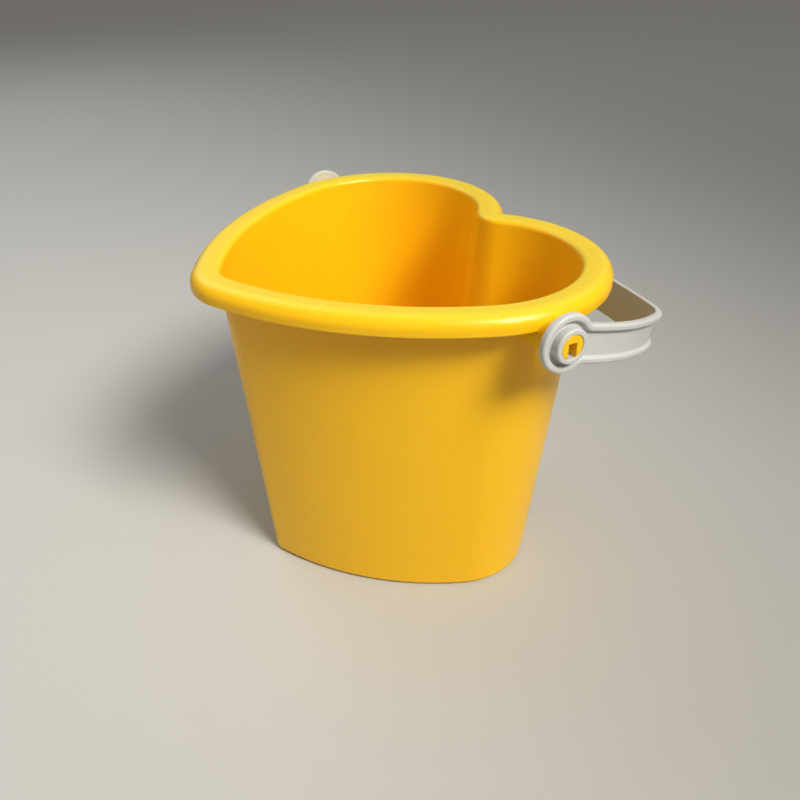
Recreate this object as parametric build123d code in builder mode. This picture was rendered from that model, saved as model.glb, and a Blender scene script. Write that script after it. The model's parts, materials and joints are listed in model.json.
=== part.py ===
"""Heart-shaped sand bucket with a swinging strap handle.

The origin is on the flat base, plumb below the middle of the hinge line. +Z is up, +Y points to the
cleft between the two lobes, -Y to the heart's tip, and the hinge line runs along X.
"""

import os
from math import acos, atan2, cos, degrees, hypot, radians, sin, sqrt

from build123d import *

# --- bucket, millimetres -----------------------------------------------------------------------
HEIGHT = 160.0            # base to the top of the rim
LOBE_X = 40.2             # lobe centres, either side of the middle
LOBE_Y = 1.6
LOBE_R = 48.1             # inside radius of a lobe at the mouth
TIP_Y = -96.6             # inside of the tip at the mouth
TIP_R = 18.5
SIDE_R = 153.0            # long flank between the tip and a lobe
NOTCH_R = 16.0            # ridge inside the cleft
INSET = 14.5              # how much smaller the heart is at the base, all round
BASE_SHIFT = -4.3         # the base sits this much nearer the tip
WALL = 1.6
FLOOR = 2.0
FOOT_FILLET = 3.0
FLOOR_FILLET = 2.5

# --- rolled rim --------------------------------------------------------------------------------
RIM_WIDTH = 13.2          # from the inside line of the mouth to the outside
RIM_HEIGHT = 8.3          # top of the rim to the bottom of its skirt
RIM_WALL = 2.0
RIM_SEAM = 3.0            # from the inside line of the mouth to where the rim is parted from the shell
RIM_OUTER_FILLET = 5.5
RIM_INNER_FILLET = 2.6
SKIRT_FILLET = 0.7

# --- hinge -------------------------------------------------------------------------------------
PIVOT_Z = 148.8
PIN_R = 5.0
PIN_SHOULDER_R = 7.5
PIN_ROOT_X = 80.0         # the peg is cut back from here to the wall
PIN_SLOT_WIDTH = 3.8      # the pin is hollow as far as its shoulder, and open downwards
PIN_SLOT_TOP = 1.4        # above the pin's own axis
PIN_END_FILLET = 0.5
RUNNING_GAP = 0.08
SIDE_GAP = 0.3            # between the shoulder and the eye

# --- handle ------------------------------------------------------------------------------------
HANDLE_X = 110.6          # outer face of each eye
HANDLE_DROOP = 15.5       # degrees below level, on the cleft's side
STRAP_WIDTH = 16.6
STRAP_DEPTH = 3.2         # over the edge beads
STRAP_WEB = 1.5
BEAD_WIDTH = 3.2
EYE_R = 12.2
EYE_FLAT = 14.0           # straight stretch beside the eye
EYE_BLEND = 3.0
LEAN = 4.5                # degrees that an arm leans in
LEAN_R = 60.0
ARM_LENGTH = 3.0          # straight part of an arm
ARM_R = 92.5
ARM_TURN = 26.0           # degrees
CORNER_R = 20.8
GRIP_R = 309.0
BOSS_R = 7.4
BOSS_HEIGHT = 4.0         # above the web
BOSS_FILLET = 0.8
PIN_RECESS = 0.2          # the pin's end lies just inside the boss


def heart(offset, shift=0.0):
    """Draw the heart's outline, moved outwards by an offset and along Y by a shift."""
    tip_y = TIP_Y + TIP_R
    notch_y = LOBE_Y + sqrt((LOBE_R + NOTCH_R) ** 2 - LOBE_X**2)
    # the flank's centre lies on the far side of the middle, at set distances from tip and lobe
    to_tip = SIDE_R - TIP_R
    to_lobe = SIDE_R - LOBE_R
    span = hypot(LOBE_X, LOBE_Y - tip_y)
    along = (to_tip**2 - to_lobe**2 + span**2) / (2 * span)
    across = sqrt(to_tip**2 - along**2)
    unit_x, unit_y = LOBE_X / span, (LOBE_Y - tip_y) / span
    side_x = along * unit_x - across * unit_y
    side_y = tip_y + along * unit_y + across * unit_x
    flank_start = degrees(atan2(tip_y - side_y, -side_x))
    flank_end = degrees(atan2(LOBE_Y - side_y, LOBE_X - side_x))
    lobe_end = degrees(atan2(notch_y - LOBE_Y, -LOBE_X))
    notch_start = lobe_end - 180
    CenterArc((0, tip_y + shift), TIP_R + offset, -90, flank_start + 90)
    CenterArc((side_x, side_y + shift), SIDE_R + offset, flank_start, flank_end - flank_start)
    CenterArc((LOBE_X, LOBE_Y + shift), LOBE_R + offset, flank_end, lobe_end - flank_end)
    CenterArc((0, notch_y + shift), NOTCH_R - offset, notch_start, -90 - notch_start)
    mirror(about=Plane.YZ)


def strap_line(inset):
    """Draw half of the handle's outer face, from the eye to the middle, moved inwards by an inset."""
    heading = radians(LEAN + ARM_TURN)
    eye = Line((HANDLE_X - inset, 0), (HANDLE_X - inset, EYE_FLAT))
    lean = JernArc(eye @ 1, eye % 1, LEAN_R - inset, LEAN)
    arm = PolarLine(lean @ 1, ARM_LENGTH, direction=lean % 1)
    bend = JernArc(arm @ 1, arm % 1, ARM_R - inset, ARM_TURN)
    # the corner turns until the grip's arc, square to the middle, can close the loop
    left = (bend @ 1).X - (CORNER_R - inset) * cos(heading)
    corner_turn = degrees(acos(left / (GRIP_R - CORNER_R)) - heading)
    corner = JernArc(bend @ 1, bend % 1, CORNER_R - inset, corner_turn)
    grip = JernArc(corner @ 1, corner % 1, GRIP_R - inset, 90 - LEAN - ARM_TURN - corner_turn)
    return eye @ 0, grip @ 1


def strap_profile(outer, inner):
    """Close the band between two insets of the handle's outer face."""
    with BuildLine() as band:
        outer_eye, outer_middle = strap_line(outer)
        inner_eye, inner_middle = strap_line(inner)
        Line(outer_eye, inner_eye)
        Line(outer_middle, inner_middle)
    return band.line


def pin_plane(x):
    """Give the plane square to the hinge line at a distance from the middle."""
    return Plane(origin=(x, 0, PIVOT_Z), x_dir=(0, 1, 0), z_dir=(1, 0, 0))


eye_inner_x = HANDLE_X - STRAP_DEPTH
web_face_x = eye_inner_x + STRAP_WEB
boss_face_x = web_face_x + BOSS_HEIGHT
shoulder_x = eye_inner_x - SIDE_GAP
pin_end_x = boss_face_x - PIN_RECESS
recess_depth = STRAP_DEPTH - STRAP_WEB
skirt_z = HEIGHT - RIM_HEIGHT

# --- bucket ------------------------------------------------------------------------------------
# the wall's outer form as a full block, from the base to the mouth
with BuildPart() as body_outside:
    with BuildSketch(Plane.XY):
        with BuildLine():
            heart(WALL - INSET, BASE_SHIFT)
        make_face()
    with BuildSketch(Plane.XY.offset(HEIGHT)):
        with BuildLine():
            heart(WALL)
        make_face()
    loft(ruled=True)

# the space inside, from the floor to the mouth
with BuildPart() as body_inside:
    below_mouth = 1 - FLOOR / HEIGHT
    with BuildSketch(Plane.XY.offset(FLOOR)):
        with BuildLine():
            heart(-INSET * below_mouth, BASE_SHIFT * below_mouth)
        make_face()
    with BuildSketch(Plane.XY.offset(HEIGHT)):
        with BuildLine():
            heart(0)
        make_face()
    loft(ruled=True)
    fillet(body_inside.edges().group_by(Axis.Z)[0], FLOOR_FILLET)

# the thick root of the right peg, which starts on the wall and passes under the rim
with BuildPart() as pin_shoulder:
    with BuildSketch(pin_plane(PIN_ROOT_X)):
        Circle(PIN_SHOULDER_R)
    extrude(amount=shoulder_x - PIN_ROOT_X)
    add(body_outside.part, mode=Mode.SUBTRACT)

# the hollow under the rim, which leaves a skirt round its edge
with BuildPart() as rim_hollow:
    with BuildSketch(Plane.XY.offset(skirt_z)):
        with BuildLine():
            heart(RIM_WIDTH - RIM_WALL)
        make_face()
    extrude(amount=RIM_HEIGHT - RIM_WALL)
    fillet(rim_hollow.edges().group_by(Axis.Z)[-1], RIM_OUTER_FILLET - RIM_WALL)

# the whole moulding, then parted into the shell and the rolled rim
with BuildPart() as moulding:
    with BuildSketch(Plane.XY.offset(skirt_z)):
        with BuildLine():
            heart(RIM_WIDTH)
        make_face()
    extrude(amount=RIM_HEIGHT)
    fillet(moulding.edges().group_by(Axis.Z)[-1], RIM_OUTER_FILLET)
    add(rim_hollow.part, mode=Mode.SUBTRACT)
    fillet(moulding.edges().group_by(Axis.Z)[0], SKIRT_FILLET)
    add(body_outside.part)
    fillet(moulding.edges().group_by(Axis.Z)[0], FOOT_FILLET)
    add(body_inside.part, mode=Mode.SUBTRACT)
    rim_top = moulding.faces().sort_by(Axis.Z)[-1]
    fillet(rim_top.inner_wires()[0].edges(), RIM_INNER_FILLET)

with BuildPart() as shell_side:
    with BuildSketch(Plane.XY):
        with BuildLine():
            heart(RIM_SEAM)
        make_face()
    extrude(amount=HEIGHT)

with BuildPart() as bucket_shell:
    add(moulding.part)
    add(shell_side.part, mode=Mode.INTERSECT)

with BuildPart() as bucket_rim:
    add(moulding.part)
    add(shell_side.part, mode=Mode.SUBTRACT)
    # each peg fills a scallop in the skirt
    add(pin_shoulder.part, mode=Mode.SUBTRACT)
    add(mirror(pin_shoulder.part, about=Plane.YZ, mode=Mode.PRIVATE), mode=Mode.SUBTRACT)

# --- pivot pins --------------------------------------------------------------------------------
with BuildPart() as pivot_pin_right:
    add(pin_shoulder.part)
    with BuildSketch(pin_plane(shoulder_x)):
        Circle(PIN_R)
    extrude(amount=pin_end_x - shoulder_x)
    fillet(pivot_pin_right.edges().group_by(Axis.X)[-1], PIN_END_FILLET)
    with BuildSketch(pin_plane(pin_end_x)):
        with Locations((0, PIN_SLOT_TOP)):
            Rectangle(PIN_SLOT_WIDTH, PIN_SHOULDER_R * 2, align=(Align.CENTER, Align.MAX))
    extrude(amount=shoulder_x - pin_end_x, mode=Mode.SUBTRACT)

with BuildPart() as pivot_pin_left:
    add(mirror(pivot_pin_right.part, about=Plane.YZ, mode=Mode.PRIVATE))

# --- handle ------------------------------------------------------------------------------------
droop = radians(HANDLE_DROOP)
handle_plane = Plane(origin=(0, 0, PIVOT_Z), x_dir=(1, 0, 0), z_dir=(0, sin(droop), cos(droop)))

with BuildPart() as handle:
    with BuildSketch(handle_plane):
        make_face(strap_profile(0, STRAP_DEPTH).edges())
    extrude(amount=STRAP_WIDTH / 2, both=True)
    with BuildSketch(pin_plane(eye_inner_x)):
        Circle(EYE_R)
    extrude(amount=STRAP_DEPTH)
    necks = handle.edges().filter_by(Axis.X).filter_by_position(Axis.Y, EYE_R / 2, EYE_R)
    fillet(necks, EYE_BLEND)
    # the recess between the edge beads, open from the strap into the eye
    with BuildSketch(handle_plane):
        make_face(strap_profile(-recess_depth, recess_depth).edges())
    extrude(amount=STRAP_WIDTH / 2 - BEAD_WIDTH, both=True, mode=Mode.SUBTRACT)
    with BuildSketch(pin_plane(web_face_x)):
        Circle(EYE_R - BEAD_WIDTH)
    extrude(amount=recess_depth, mode=Mode.SUBTRACT)
    # the raised collar round the bore
    with BuildSketch(pin_plane(eye_inner_x)):
        Circle(BOSS_R)
    extrude(amount=boss_face_x - eye_inner_x)
    fillet(handle.edges().group_by(Axis.X)[-1], BOSS_FILLET)
    with BuildSketch(pin_plane(eye_inner_x)):
        Circle(PIN_R + RUNNING_GAP)
    extrude(amount=boss_face_x - eye_inner_x, mode=Mode.SUBTRACT)
    mirror(about=Plane.YZ)

# --- parts -------------------------------------------------------------------------------------
pieces = {
    "bucket_shell": bucket_shell,
    "bucket_rim": bucket_rim,
    "pivot_pin_right": pivot_pin_right,
    "pivot_pin_left": pivot_pin_left,
    "handle": handle,
}
os.makedirs("parts", exist_ok=True)
for name, piece in pieces.items():
    piece.part.label = name
    export_step(piece.part, f"parts/{name}.step")
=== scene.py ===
import json
from math import acos, atan2, cos, hypot, pi, radians, sin, sqrt, tan

import bmesh
import bpy
from mathutils import Matrix, Vector


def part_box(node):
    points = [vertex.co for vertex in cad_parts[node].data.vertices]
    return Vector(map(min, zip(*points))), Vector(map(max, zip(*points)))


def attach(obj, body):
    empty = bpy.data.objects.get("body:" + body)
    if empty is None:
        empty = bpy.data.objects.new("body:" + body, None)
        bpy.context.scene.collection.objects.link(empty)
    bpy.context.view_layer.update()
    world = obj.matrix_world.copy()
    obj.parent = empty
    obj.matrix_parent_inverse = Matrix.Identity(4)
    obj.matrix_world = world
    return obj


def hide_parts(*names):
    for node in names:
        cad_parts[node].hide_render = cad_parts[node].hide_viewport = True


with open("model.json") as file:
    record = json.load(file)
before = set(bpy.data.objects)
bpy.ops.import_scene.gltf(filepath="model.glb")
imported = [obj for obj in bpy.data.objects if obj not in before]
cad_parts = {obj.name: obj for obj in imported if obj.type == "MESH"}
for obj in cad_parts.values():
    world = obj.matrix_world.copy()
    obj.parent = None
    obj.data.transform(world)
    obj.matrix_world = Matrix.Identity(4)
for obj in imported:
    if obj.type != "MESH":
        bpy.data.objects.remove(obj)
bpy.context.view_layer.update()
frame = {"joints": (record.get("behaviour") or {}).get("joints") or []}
mm = 0.001
up = (0, 0, 1)
still = (0, 0, 0)
sameSpot = 0.002 * mm             # vertices closer than this are one
near = 0.01 * mm                  # how far off a vertex may be and still count as on a plane
sharpAngle = radians(40)
print("frame loaded")


def drawSection(bm, corners):
    # a line through (place, rounding, segments) corners, with each corner rounded off
    verts = [bm.verts.new(place) for place, _, _ in corners]
    for one, two in zip(verts, verts[1:]):
        bm.edges.new((one, two))
    line = []
    for vert, (_, rounding, segments) in zip(verts, corners):
        if rounding:
            one, two = [edge.other_vert(vert).co - vert.co for edge in vert.link_edges]
            line += bmesh.ops.bevel(
                bm, geom=[vert], offset=rounding / tan(one.angle(two) / 2), offset_type="OFFSET",
                segments=segments, profile=0.5, affect="VERTICES", material=-1)["verts"]
        else:
            line.append(vert)
    return line + list(dict.fromkeys(edge for vert in line for edge in vert.link_edges))


def sweep(bm, line, moves):
    # carries a line along arcs (centre, angle, steps) and runs (vector, steps)
    for move in moves:
        if len(move) == 3:
            centre, angle, steps = move
            made = bmesh.ops.spin(bm, geom=line, cent=centre, axis=up, dvec=still, angle=angle, steps=steps)
        else:
            run, steps = move
            made = bmesh.ops.spin(bm, geom=line, cent=still, axis=up, dvec=run / steps, angle=0, steps=steps)
        line = made["geom_last"]


def finishPiece(bm, name, body, nodes, material):
    bmesh.ops.remove_doubles(bm, verts=bm.verts, dist=sameSpot)
    bmesh.ops.recalc_face_normals(bm, faces=bm.faces)
    mesh = bpy.data.meshes.new(name)
    bm.to_mesh(mesh)
    bm.free()
    mesh.shade_smooth()
    mesh.set_sharp_from_angle(angle=sharpAngle)
    mesh.materials.append(material)
    piece = bpy.data.objects.new(name, mesh)
    bpy.context.scene.collection.objects.link(piece)
    flat = piece.modifiers.new("evenShading", "WEIGHTED_NORMAL")
    flat.keep_sharp = True
    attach(piece, body)
    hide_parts(*nodes)


def newGroup(name, inputs, outputs):
    group = bpy.data.node_groups.new(name, "ShaderNodeTree")
    for title, kind, value in inputs:
        socket = group.interface.new_socket(name=title, in_out="INPUT", socket_type=kind)
        socket.default_value = value
    for title, kind in outputs:
        group.interface.new_socket(name=title, in_out="OUTPUT", socket_type=kind)
    return group, group.nodes.new("NodeGroupInput"), group.nodes.new("NodeGroupOutput")


def addNode(tree, kind, links=None, **settings):
    # links go from input name or index to an output socket or a plain value
    node = tree.nodes.new(kind)
    for key, value in settings.items():
        setattr(node, key, value)
    for key, value in (links or {}).items():
        socket = node.inputs[key]
        if isinstance(value, bpy.types.NodeSocket):
            tree.links.new(value, socket)
        else:
            socket.default_value = value
    return node


def makeGrainGroup():
    # fine moulded grain with a slow ripple under it
    group, given, out = newGroup(
        "mouldedGrain",
        [("Grain Scale", "NodeSocketFloat", 1500.0), ("Ripple Scale", "NodeSocketFloat", 25.0),
         ("Ripple", "NodeSocketFloat", 2.0)],
        [("Height", "NodeSocketFloat")])
    place = addNode(group, "ShaderNodeTexCoord").outputs["Object"]
    grain = addNode(group, "ShaderNodeTexNoise", {"Vector": place, "Scale": given.outputs["Grain Scale"],
                                                  "Detail": 2.0, "Roughness": 0.5})
    ripple = addNode(group, "ShaderNodeTexNoise", {"Vector": place, "Scale": given.outputs["Ripple Scale"],
                                                   "Detail": 1.0})
    height = addNode(group, "ShaderNodeMath", {0: ripple.outputs["Fac"], 1: given.outputs["Ripple"],
                                               2: grain.outputs["Fac"]}, operation="MULTIPLY_ADD")
    group.links.new(height.outputs[0], out.inputs["Height"])
    return group


def makeWearAndTopLightGroup():
    # dry scuffs where the mask allows them, stronger in patches; on the yellow rim's flat top the mixed-in
    # colour is also painted cool light from above
    group, given, out = newGroup(
        "scuffingAndTopLight",
        [("Color", "NodeSocketColor", (1, 1, 1, 1)), ("Scuffed And Top Lit Color", "NodeSocketColor", (1, 1, 1, 1)),
         ("Roughness", "NodeSocketFloat", 0.4), ("Scuffed Roughness", "NodeSocketFloat", 0.6),
         ("Mask", "NodeSocketFloat", 0.0), ("Scale", "NodeSocketFloat", 60.0)],
        [("Color", "NodeSocketColor"), ("Roughness", "NodeSocketFloat")])
    place = addNode(group, "ShaderNodeTexCoord").outputs["Object"]
    noise = addNode(group, "ShaderNodeTexNoise", {"Vector": place, "Scale": given.outputs["Scale"],
                                                  "Detail": 6.0, "Roughness": 0.65})
    patchy = addNode(group, "ShaderNodeMapRange", {"Value": noise.outputs["Fac"], "From Min": 0.42,
                                                   "From Max": 0.62, "To Min": 0.7},
                     interpolation_type="SMOOTHSTEP")
    amount = addNode(group, "ShaderNodeMath", {0: patchy.outputs[0], 1: given.outputs["Mask"]},
                     operation="MULTIPLY")
    colour = addNode(group, "ShaderNodeMix", data_type="RGBA")
    group.links.new(amount.outputs[0], colour.inputs["Factor"])
    group.links.new(given.outputs["Color"], colour.inputs[6])
    group.links.new(given.outputs["Scuffed And Top Lit Color"], colour.inputs[7])
    rough = addNode(group, "ShaderNodeMix", data_type="FLOAT")
    group.links.new(amount.outputs[0], rough.inputs["Factor"])
    group.links.new(given.outputs["Roughness"], rough.inputs[2])
    group.links.new(given.outputs["Scuffed Roughness"], rough.inputs[3])
    group.links.new(colour.outputs[2], out.inputs["Color"])
    group.links.new(rough.outputs[0], out.inputs["Roughness"])
    return group


grainGroup = makeGrainGroup()
wearAndTopLightGroup = makeWearAndTopLightGroup()


def heightMask(tree, low, high):
    # rises from 0 at one height to 1 at the other
    place = addNode(tree, "ShaderNodeTexCoord").outputs["Object"]
    split = addNode(tree, "ShaderNodeSeparateXYZ", {0: place})
    return addNode(tree, "ShaderNodeMapRange", {"Value": split.outputs["Z"], "From Min": low,
                                                "From Max": high}).outputs[0]


def mouldedPlastic(name, look):
    material = bpy.data.materials.new(name)
    material.use_nodes = True
    tree = material.node_tree
    shader = tree.nodes["Principled BSDF"]
    wearAndTopLight = addNode(tree, "ShaderNodeGroup", node_tree=wearAndTopLightGroup)
    wearAndTopLight.inputs["Color"].default_value = (*look["colour"], 1)
    wearAndTopLight.inputs["Scuffed And Top Lit Color"].default_value = (*look["scuffAndTopLight"], 1)
    wearAndTopLight.inputs["Roughness"].default_value = look["roughness"]
    wearAndTopLight.inputs["Scuffed Roughness"].default_value = look["scuffedRoughness"]
    wearAndTopLight.inputs["Scale"].default_value = look["scuffScale"]
    # the height mask mixes in the scuffed colour; on the yellow rim's top this is also painted cool light
    # from above
    tree.links.new(heightMask(tree, look["scuffAndTopLightFrom"], look["scuffAndTopLightFull"]), wearAndTopLight.inputs["Mask"])
    grain = addNode(tree, "ShaderNodeGroup", node_tree=grainGroup)
    grain.inputs["Grain Scale"].default_value = look["grainScale"]
    grain.inputs["Ripple"].default_value = look["ripple"]
    bump = addNode(tree, "ShaderNodeBump", {"Height": grain.outputs["Height"], "Strength": look["bump"],
                                            "Distance": look["bumpDepth"]})
    tree.links.new(wearAndTopLight.outputs["Color"], shader.inputs["Base Color"])
    tree.links.new(wearAndTopLight.outputs["Roughness"], shader.inputs["Roughness"])
    tree.links.new(bump.outputs["Normal"], shader.inputs["Normal"])
    shader.inputs["IOR"].default_value = look["ior"]
    shader.inputs["Subsurface Weight"].default_value = look["glow"]
    shader.inputs["Subsurface Radius"].default_value = look["glowRadius"]
    shader.inputs["Subsurface Scale"].default_value = look["glowScale"]
    return material


rimLow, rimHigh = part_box("bucket_rim")
rimTop = rimHigh.z
bucket = {
    "lobeRadius": 48.1 * mm,
    "tipRadius": 18.5 * mm,
    "flankRadius": 153 * mm,
    "notchRadius": 16 * mm,
    "inset": 14.5 * mm,           # all round, from mouth to base
    "baseShift": -4.3 * mm,
    "wall": 1.6 * mm,
    "floor": 2 * mm,
    "footRound": 3 * mm,
    "rimWidth": 13.2 * mm,
    "rimHeight": 8.3 * mm,
    "rimWall": 2 * mm,
    "rimRound": 5.5 * mm,
    "mouthRound": 2.6 * mm,
    "crown": 0.5 * mm,            # the rim's top is slightly domed
    "crownRound": 30 * mm,
    "skirtRound": 0.7 * mm,
    "hollowRound": 0.8 * mm,      # where the wall runs into the rim, out of sight
    "floorRound": 2.5 * mm,
    "flatEdge": 3 * mm,           # less than the tip's radius at the base, so the line can't cross itself
    "steps": {"tip": 12, "flank": 14, "lobe": 40, "notch": 10},
}

yellowLook = {
    "colour": (0.93, 0.565, 0.009),
    # paler lemon top colour: painted cool light from above, with scuffs
    "scuffAndTopLight": (0.74, 0.60, 0.05),
    "roughness": 0.3,
    "scuffedRoughness": 0.42,
    "scuffScale": 330.0,
    "scuffAndTopLightFrom": rimTop - 1.6 * mm,   # painted cool light from above and scuffs, only on the flat top of the rim
    "scuffAndTopLightFull": rimTop - 0.5 * mm,
    "grainScale": 1800.0,
    "ripple": 6.0,
    "bump": 0.25,
    "bumpDepth": 0.0003,
    "ior": 1.49,
    "glow": 0.3,
    "glowRadius": (1.0, 0.45, 0.05),
    "glowScale": 0.003,
}
yellowPlastic = mouldedPlastic("yellowPlastic", yellowLook)

tipY = rimLow.y + bucket["rimWidth"] + bucket["tipRadius"]
lobeX = rimHigh.x - bucket["rimWidth"] - bucket["lobeRadius"]
lobeY = rimHigh.y - bucket["rimWidth"] - bucket["lobeRadius"]


def heartMoves():
    # arcs of the outline, anticlockwise from the tip: right half, then its mirror
    steps = bucket["steps"]
    notchY = lobeY + sqrt((bucket["lobeRadius"] + bucket["notchRadius"]) ** 2 - lobeX ** 2)
    toTip = bucket["flankRadius"] - bucket["tipRadius"]
    toLobe = bucket["flankRadius"] - bucket["lobeRadius"]
    span = hypot(lobeX, lobeY - tipY)
    along = (toTip ** 2 - toLobe ** 2 + span ** 2) / (2 * span)
    across = sqrt(toTip ** 2 - along ** 2)
    lean = Vector((lobeX, lobeY - tipY)) / span
    flankX = along * lean.x - across * lean.y
    flankY = tipY + along * lean.y + across * lean.x
    flankStart = atan2(tipY - flankY, -flankX)
    flankEnd = atan2(lobeY - flankY, lobeX - flankX)
    lobeEnd = atan2(notchY - lobeY, -lobeX)
    half = [
        ((0, tipY, 0), flankStart + pi / 2, steps["tip"]),
        ((flankX, flankY, 0), flankEnd - flankStart, steps["flank"]),
        ((lobeX, lobeY, 0), lobeEnd - flankEnd, steps["lobe"]),
        ((0, notchY, 0), pi / 2 - lobeEnd, steps["notch"]),
    ]
    return half + [((-x, y, 0), angle, count) for (x, y, _), angle, count in reversed(half)]


heartArcs = heartMoves()


def shellSection():
    # (gap outside the mouth's line, height, rounding, segments) from the base round the rim to the floor
    b = bucket
    skirt = b["rimWidth"] - b["rimWall"]
    skirtEnd = rimTop - b["rimHeight"]
    plate = rimTop - b["rimWall"]
    shoulder = rimTop - b["crown"]
    base = b["wall"] - b["inset"]
    floor = -b["inset"] * (1 - b["floor"] / rimTop)
    return [
        (base - b["flatEdge"], 0, 0, 0),
        (base, 0, b["footRound"], 8),
        (-b["inset"] * (1 - plate / rimTop) + b["wall"], plate, b["hollowRound"], 4),
        (skirt, plate, b["rimRound"] - b["rimWall"], 8),
        (skirt, skirtEnd, b["skirtRound"], 4),
        (b["rimWidth"], skirtEnd, b["skirtRound"], 4),
        (b["rimWidth"], shoulder, b["rimRound"], 14),
        (b["rimWidth"] / 2, rimTop, b["crownRound"], 6),
        (0, shoulder, b["mouthRound"], 10),
        (floor, b["floor"], b["floorRound"], 8),
        (floor - b["flatEdge"], b["floor"], 0, 0),
    ]


def buildShell():
    bm = bmesh.new()
    tipEdge = tipY - bucket["tipRadius"]
    line = drawSection(bm, [((0, tipEdge - gap, z), rounding, segments)
                            for gap, z, rounding, segments in shellSection()])
    sweep(bm, line, heartArcs)
    bmesh.ops.remove_doubles(bm, verts=bm.verts, dist=sameSpot)
    bmesh.ops.holes_fill(bm, edges=[edge for edge in bm.edges if edge.is_boundary])
    skirtEnd = rimTop - bucket["rimHeight"]
    for vert in bm.verts:
        if vert.co.z < skirtEnd - near:
            vert.co.y += bucket["baseShift"] * (1 - vert.co.z / rimTop)   # the base sits nearer the tip
    nodes = ["bucket_shell", "bucket_rim"]
    finishPiece(bm, "bucketShell", "bucket", nodes, yellowPlastic)


buildShell()
print("bucket shell built")


pivot = Vector(frame["joints"][0]["pos_m"])
peg = {
    "radius": 5 * mm,
    "slotWidth": 3.8 * mm,
    "slotTop": 1.4 * mm,          # above the hinge line
    "endRound": 0.3 * mm,         # small, or the slot's lower corners cross
    "endSteps": 4,
    "shoulderRadius": 7.5 * mm,
    "shoulderX": 107.1 * mm,
    "steps": 48,
}


def slottedDisc(bm):
    # the pin's section, with a slot open downwards
    half = peg["slotWidth"] / 2
    foot = -sqrt(peg["radius"] ** 2 - half ** 2)
    rise = Vector((0, peg["slotTop"] - foot, 0))
    sweep(bm, [bm.verts.new((half, foot, 0))], [
        (still, 2 * pi - 2 * atan2(half, -foot), peg["steps"]),
        (rise, 1),
        (Vector((half * 2, 0, 0)), 1),
        (-rise, 1),
    ])
    loose = [vert for vert in bm.verts if not vert.link_faces]
    bmesh.ops.remove_doubles(bm, verts=loose, dist=sameSpot)
    return bmesh.ops.contextual_create(bm, geom=[edge for edge in bm.edges if edge.is_wire])["faces"][0]


def drawOut(bm, disc, length):
    # a flat section drawn out to a post with a rounded end
    made = bmesh.ops.extrude_face_region(bm, geom=[disc])["geom"]
    ends = [part for part in made if isinstance(part, bmesh.types.BMVert)]
    edges = [part for part in made if isinstance(part, bmesh.types.BMEdge)]
    bmesh.ops.translate(bm, vec=(0, 0, length), verts=ends)
    bmesh.ops.bevel(bm, geom=edges, offset=peg["endRound"], offset_type="OFFSET", segments=peg["endSteps"],
                    profile=0.5, affect="EDGES", material=-1)


def buildPeg(name, node, side):
    bm = bmesh.new()
    shoulder = bmesh.ops.create_circle(bm, cap_ends=True, segments=peg["steps"], radius=peg["shoulderRadius"])
    drawOut(bm, shoulder["verts"][0].link_faces[0], peg["shoulderX"])
    drawOut(bm, slottedDisc(bm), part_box("pivot_pin_right")[1].x)
    stand = Matrix(((0, 0, 1), (1, 0, 0), (0, 1, 0))).to_4x4()
    bmesh.ops.transform(bm, matrix=Matrix.Translation(pivot) @ stand, verts=bm.verts)
    for vert in bm.verts:
        if vert.co.x < near:
            # the root follows the wall and ends inside its thickness
            below = 1 - vert.co.z / rimTop
            reach = bucket["lobeRadius"] - bucket["inset"] * below + bucket["wall"] / 2
            across = vert.co.y - lobeY - bucket["baseShift"] * below
            vert.co.x = lobeX + sqrt(reach ** 2 - across ** 2)
    bmesh.ops.scale(bm, vec=(side, 1, 1), verts=bm.verts)
    finishPiece(bm, name, "bucket", [node], yellowPlastic)


buildPeg("pegRight", "pivot_pin_right", 1)
buildPeg("pegLeft", "pivot_pin_left", -1)
print("pegs built")


handle = {
    "faceX": 110.6 * mm,          # outer face of an eye
    "droop": radians(15.5),
    "halfWidth": 8.3 * mm,
    "depth": 3.2 * mm,
    "web": 1.5 * mm,
    "bead": 3.2 * mm,
    "beadRound": 1.1 * mm,
    "beadFoot": 0.3 * mm,         # rounding where the bead meets the web
    "beadDraft": 0.15 * mm,       # how much narrower the bead is at its top
    "backRound": 0.5 * mm,
    "eyeRadius": 12.2 * mm,
    "neckRadius": 3 * mm,
    "bossRadius": 7.4 * mm,
    "bossHeight": 4 * mm,
    "bossRound": 0.8 * mm,
    "bossDraft": 0.1 * mm,
    "bore": 5.08 * mm,
    "smallRound": 0.35 * mm,      # round the collar's foot and the bore's edges
    "lip": 0.4 * mm,              # flat left round the collar's foot
    "boreLip": 1 * mm,            # flat left round the bore at the back
    "strapSteps": 110,
    "neckSteps": 8,
    "eyeSteps": 72,
    # the outer face from the eye's centre: run (length) or bend (radius, turn)
    "flat": 14 * mm,
    "lean": (60 * mm, radians(4.5)),
    "arm": 3 * mm,
    "bend": (92.5 * mm, radians(26)),
    "cornerRadius": 20.8 * mm,
    "gripRadius": 309 * mm,
}

whiteLook = {
    "colour": (0.59, 0.615, 0.63),
    "scuffAndTopLight": (0.55, 0.55, 0.52),
    "roughness": 0.38,
    "scuffedRoughness": 0.5,
    "scuffScale": 90.0,
    "scuffAndTopLightFrom": -1.0,            # heights so far apart that the handle has about 0.7 of it all over
    "scuffAndTopLightFull": 0.6,
    "grainScale": 2200.0,
    "ripple": 4.0,
    "bump": 0.2,
    "bumpDepth": 0.0003,
    "ior": 1.49,
    "glow": 0.15,
    "glowRadius": (1.0, 0.9, 0.8),
    "glowScale": 0.002,
}
whitePlastic = mouldedPlastic("whitePlastic", whiteLook)


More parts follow.
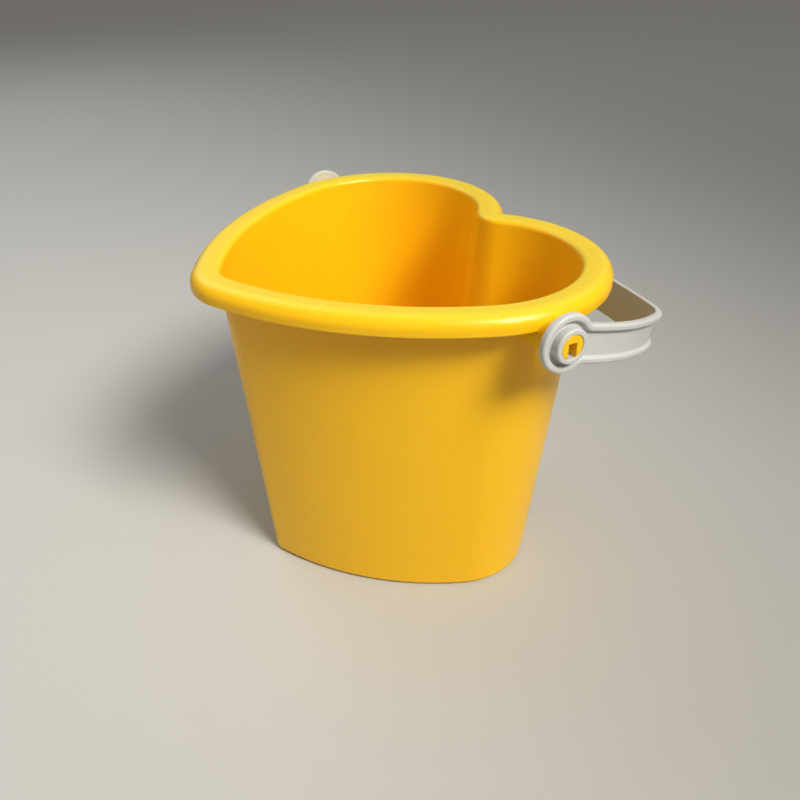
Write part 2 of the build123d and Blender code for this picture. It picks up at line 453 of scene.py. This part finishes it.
def stripSegments():
    # (length, curvature) pieces from the eye to the middle of the grip
    h = handle
    leanR, leanTurn = h["lean"]
    bendR, bendTurn = h["bend"]
    x = h["faceX"] - leanR * (1 - cos(leanTurn)) - h["arm"] * sin(leanTurn)
    x -= bendR * (cos(leanTurn) - cos(leanTurn + bendTurn))
    heading = leanTurn + bendTurn
    cornerR, gripR = h["cornerRadius"], h["gripRadius"]
    gripStart = acos((x - cornerR * cos(heading)) / (gripR - cornerR))
    return [
        (h["flat"], 0),
        (leanR * leanTurn, 1 / leanR),
        (h["arm"], 0),
        (bendR * bendTurn, 1 / bendR),
        (cornerR * (gripStart - heading), 1 / cornerR),
        (gripR * (pi / 2 - gripStart), 1 / gripR),
    ]


stripPieces = stripSegments()
stripLength = sum(length for length, _ in stripPieces)


def bentPoint(flat):
    # from the flat strip (along, across, thickness) to its place on the bucket
    x, v, heading, left = handle["faceX"], 0.0, 0.0, flat.x
    for length, curve in stripPieces:
        run = min(left, length)
        if curve and run > 0:
            turned = heading + run * curve
            x -= (cos(heading) - cos(turned)) / curve
            v += (sin(turned) - sin(heading)) / curve
            heading = turned
        else:
            x -= run * sin(heading)
            v += run * cos(heading)
        left -= run
        if left <= 0:
            break
    lift = flat.z - handle["depth"]
    x += lift * cos(heading)
    v += lift * sin(heading)
    droop = handle["droop"]
    y = v * cos(droop) + flat.y * sin(droop)
    z = -v * sin(droop) + flat.y * cos(droop)
    return Vector((x, pivot.y + y, pivot.z + z))


def beadSection():
    # (gap inside the edge, height, rounding, segments) from the web over the bead to the back
    h = handle
    foot = h["bead"] - 0.1 * mm   # short of the web's own edge, which leaves room for the rounding
    return [
        (h["bead"], h["web"], 0, 0),
        (foot, h["web"], h["beadFoot"], 3),
        (foot - h["beadDraft"], h["depth"], h["beadRound"], 7),
        (0, h["depth"], h["beadRound"], 7),
        (0, 0, h["backRound"], 4),
        (h["bead"], 0, 0, 0),
    ]


def bossSection():
    # (radius, height, rounding, segments) from the web over the collar and through the bore
    h = handle
    top = h["web"] + h["bossHeight"]
    return [
        (h["bossRadius"] + h["lip"], h["web"], 0, 0),
        (h["bossRadius"], h["web"], h["smallRound"], 4),
        (h["bossRadius"] - h["bossDraft"], top, h["bossRound"], 6),
        (h["bore"], top, h["smallRound"], 4),
        (h["bore"], 0, h["smallRound"], 4),
        (h["bore"] + h["boreLip"], 0, 0, 0),
    ]


def fillAroundBoss(bm, z, neckX):
    # the flat between the collar, the eye's bead and the strap
    loop = [edge for edge in bm.edges if edge.is_boundary
            and all(abs(vert.co.z - z) < near and vert.co.x < neckX + near for vert in edge.verts)]
    bmesh.ops.triangle_fill(bm, use_beauty=True, use_dissolve=False, edges=loop)


def buildHandle():
    h = handle
    bm = bmesh.new()
    neckY = h["halfWidth"] + h["neckRadius"]
    neckX = sqrt((h["eyeRadius"] + h["neckRadius"]) ** 2 - neckY ** 2)
    lean = atan2(neckY, neckX)
    strap = Vector((stripLength - neckX, 0, 0))
    bead = drawSection(bm, [((stripLength, h["halfWidth"] - gap, z), rounding, segments)
                            for gap, z, rounding, segments in beadSection()])
    sweep(bm, bead, [
        (-strap, h["strapSteps"]),
        ((neckX, neckY, 0), lean - pi / 2, h["neckSteps"]),
        (still, 2 * pi - 2 * lean, h["eyeSteps"]),
        ((neckX, -neckY, 0), lean - pi / 2, h["neckSteps"]),
        (strap, h["strapSteps"]),
    ])
    boss = drawSection(bm, [((radius, 0, z), rounding, segments)
                            for radius, z, rounding, segments in bossSection()])
    bmesh.ops.spin(bm, geom=boss, cent=still, axis=up, dvec=still, angle=2 * pi, steps=h["eyeSteps"],
                   use_merge=True)
    edge = h["halfWidth"] - h["bead"]
    faces = (h["web"], 0)         # heights of the strap's two sides
    for z in faces:
        across = drawSection(bm, [((neckX, edge, z), 0, 0), ((neckX, -edge, z), 0, 0)])
        sweep(bm, across, [(strap, h["strapSteps"])])
    bmesh.ops.remove_doubles(bm, verts=bm.verts, dist=sameSpot)
    for z in faces:
        fillAroundBoss(bm, z, neckX)
    for vert in bm.verts:
        vert.co = bentPoint(vert.co)
        if abs(vert.co.x) < near:
            vert.co.x = 0
    bmesh.ops.mirror(bm, geom=bm.verts[:] + bm.edges[:] + bm.faces[:], matrix=Matrix(), merge_dist=near,
                     axis="X")
    finishPiece(bm, "strapHandle", "handle", ["handle"], whitePlastic)


buildHandle()
print("handle built")


stage = {
    "floorSize": 12.0,
    "floorColour": (0.54, 0.54, 0.53),
    "floorRoughness": 0.8,
    "worldColour": (1.0, 0.96, 0.90),
    "worldStrength": 0.34,
    "exposure": 0.03,
    "gamma": 0.87,
}

lights = {
    "key": {
        "place": (1.04, 0.17, 1.26),
        "aim": (-0.27, -0.26, 0),
        "size": 0.55,
        "spread": radians(52),    # narrow, so the floor falls darker to the right
        "power": 3.1,
        "colour": (1.0, 0.96, 0.89),
    },
    "fill": {
        "place": (-1.20, -0.30, 1.15),
        "aim": (-0.20, -0.20, 0),
        "size": 1.0,
        "spread": radians(180),
        "power": 5.0,
        "colour": (0.90, 0.96, 1.0),
    },
}

camera = {
    "target": (15.7 * mm, -21.1 * mm, 80 * mm),
    "azimuth": radians(61.5),
    "pitch": radians(32.26),
    "roll": radians(-1.32),
    "distance": 393 * mm,
    "lens": 35.43,
    "clipStart": 0.01,
}


def buildFloor():
    bm = bmesh.new()
    bmesh.ops.create_grid(bm, x_segments=1, y_segments=1, size=stage["floorSize"] / 2)
    mesh = bpy.data.meshes.new("floor")
    bm.to_mesh(mesh)
    bm.free()
    material = bpy.data.materials.new("paleFloor")
    material.use_nodes = True
    shader = material.node_tree.nodes["Principled BSDF"]
    shader.inputs["Base Color"].default_value = (*stage["floorColour"], 1)
    shader.inputs["Roughness"].default_value = stage["floorRoughness"]
    mesh.materials.append(material)
    floor = bpy.data.objects.new("floor", mesh)
    bpy.context.scene.collection.objects.link(floor)


def buildLight(name, light):
    data = bpy.data.lights.new(name, "AREA")
    data.size = light["size"]
    data.energy = light["power"]
    data.color = light["colour"]
    data.spread = light["spread"]
    lamp = bpy.data.objects.new(name, data)
    lamp.location = light["place"]
    lamp.rotation_euler = (Vector(light["aim"]) - lamp.location).to_track_quat("-Z", "Y").to_euler()
    bpy.context.scene.collection.objects.link(lamp)


def buildWorld():
    world = bpy.data.worlds.new("studio")
    world.use_nodes = True
    background = world.node_tree.nodes["Background"]
    background.inputs["Color"].default_value = (*stage["worldColour"], 1)
    background.inputs["Strength"].default_value = stage["worldStrength"]
    bpy.context.scene.world = world


def buildCamera():
    c = camera
    az, pitch, roll = c["azimuth"], c["pitch"], c["roll"]
    back = Vector((sin(az) * cos(pitch), -cos(az) * cos(pitch), sin(pitch)))
    right = Vector((cos(az), sin(az), 0))
    above = back.cross(right)
    rolledRight = cos(roll) * right + sin(roll) * above
    rolledUp = back.cross(rolledRight)
    turn = Matrix((rolledRight, rolledUp, back)).transposed().to_4x4()
    data = bpy.data.cameras.new("camera")
    data.lens = c["lens"]
    data.clip_start = c["clipStart"]
    view = bpy.data.objects.new("camera", data)
    view.matrix_world = Matrix.Translation(Vector(c["target"]) + back * c["distance"]) @ turn
    bpy.context.scene.collection.objects.link(view)
    bpy.context.scene.camera = view


buildFloor()
for name, light in lights.items():
    buildLight(name, light)
buildWorld()
toning = bpy.context.scene.view_settings
toning.view_transform = "Standard"
toning.exposure = stage["exposure"]
toning.gamma = stage["gamma"]
buildCamera()
print("stage built")
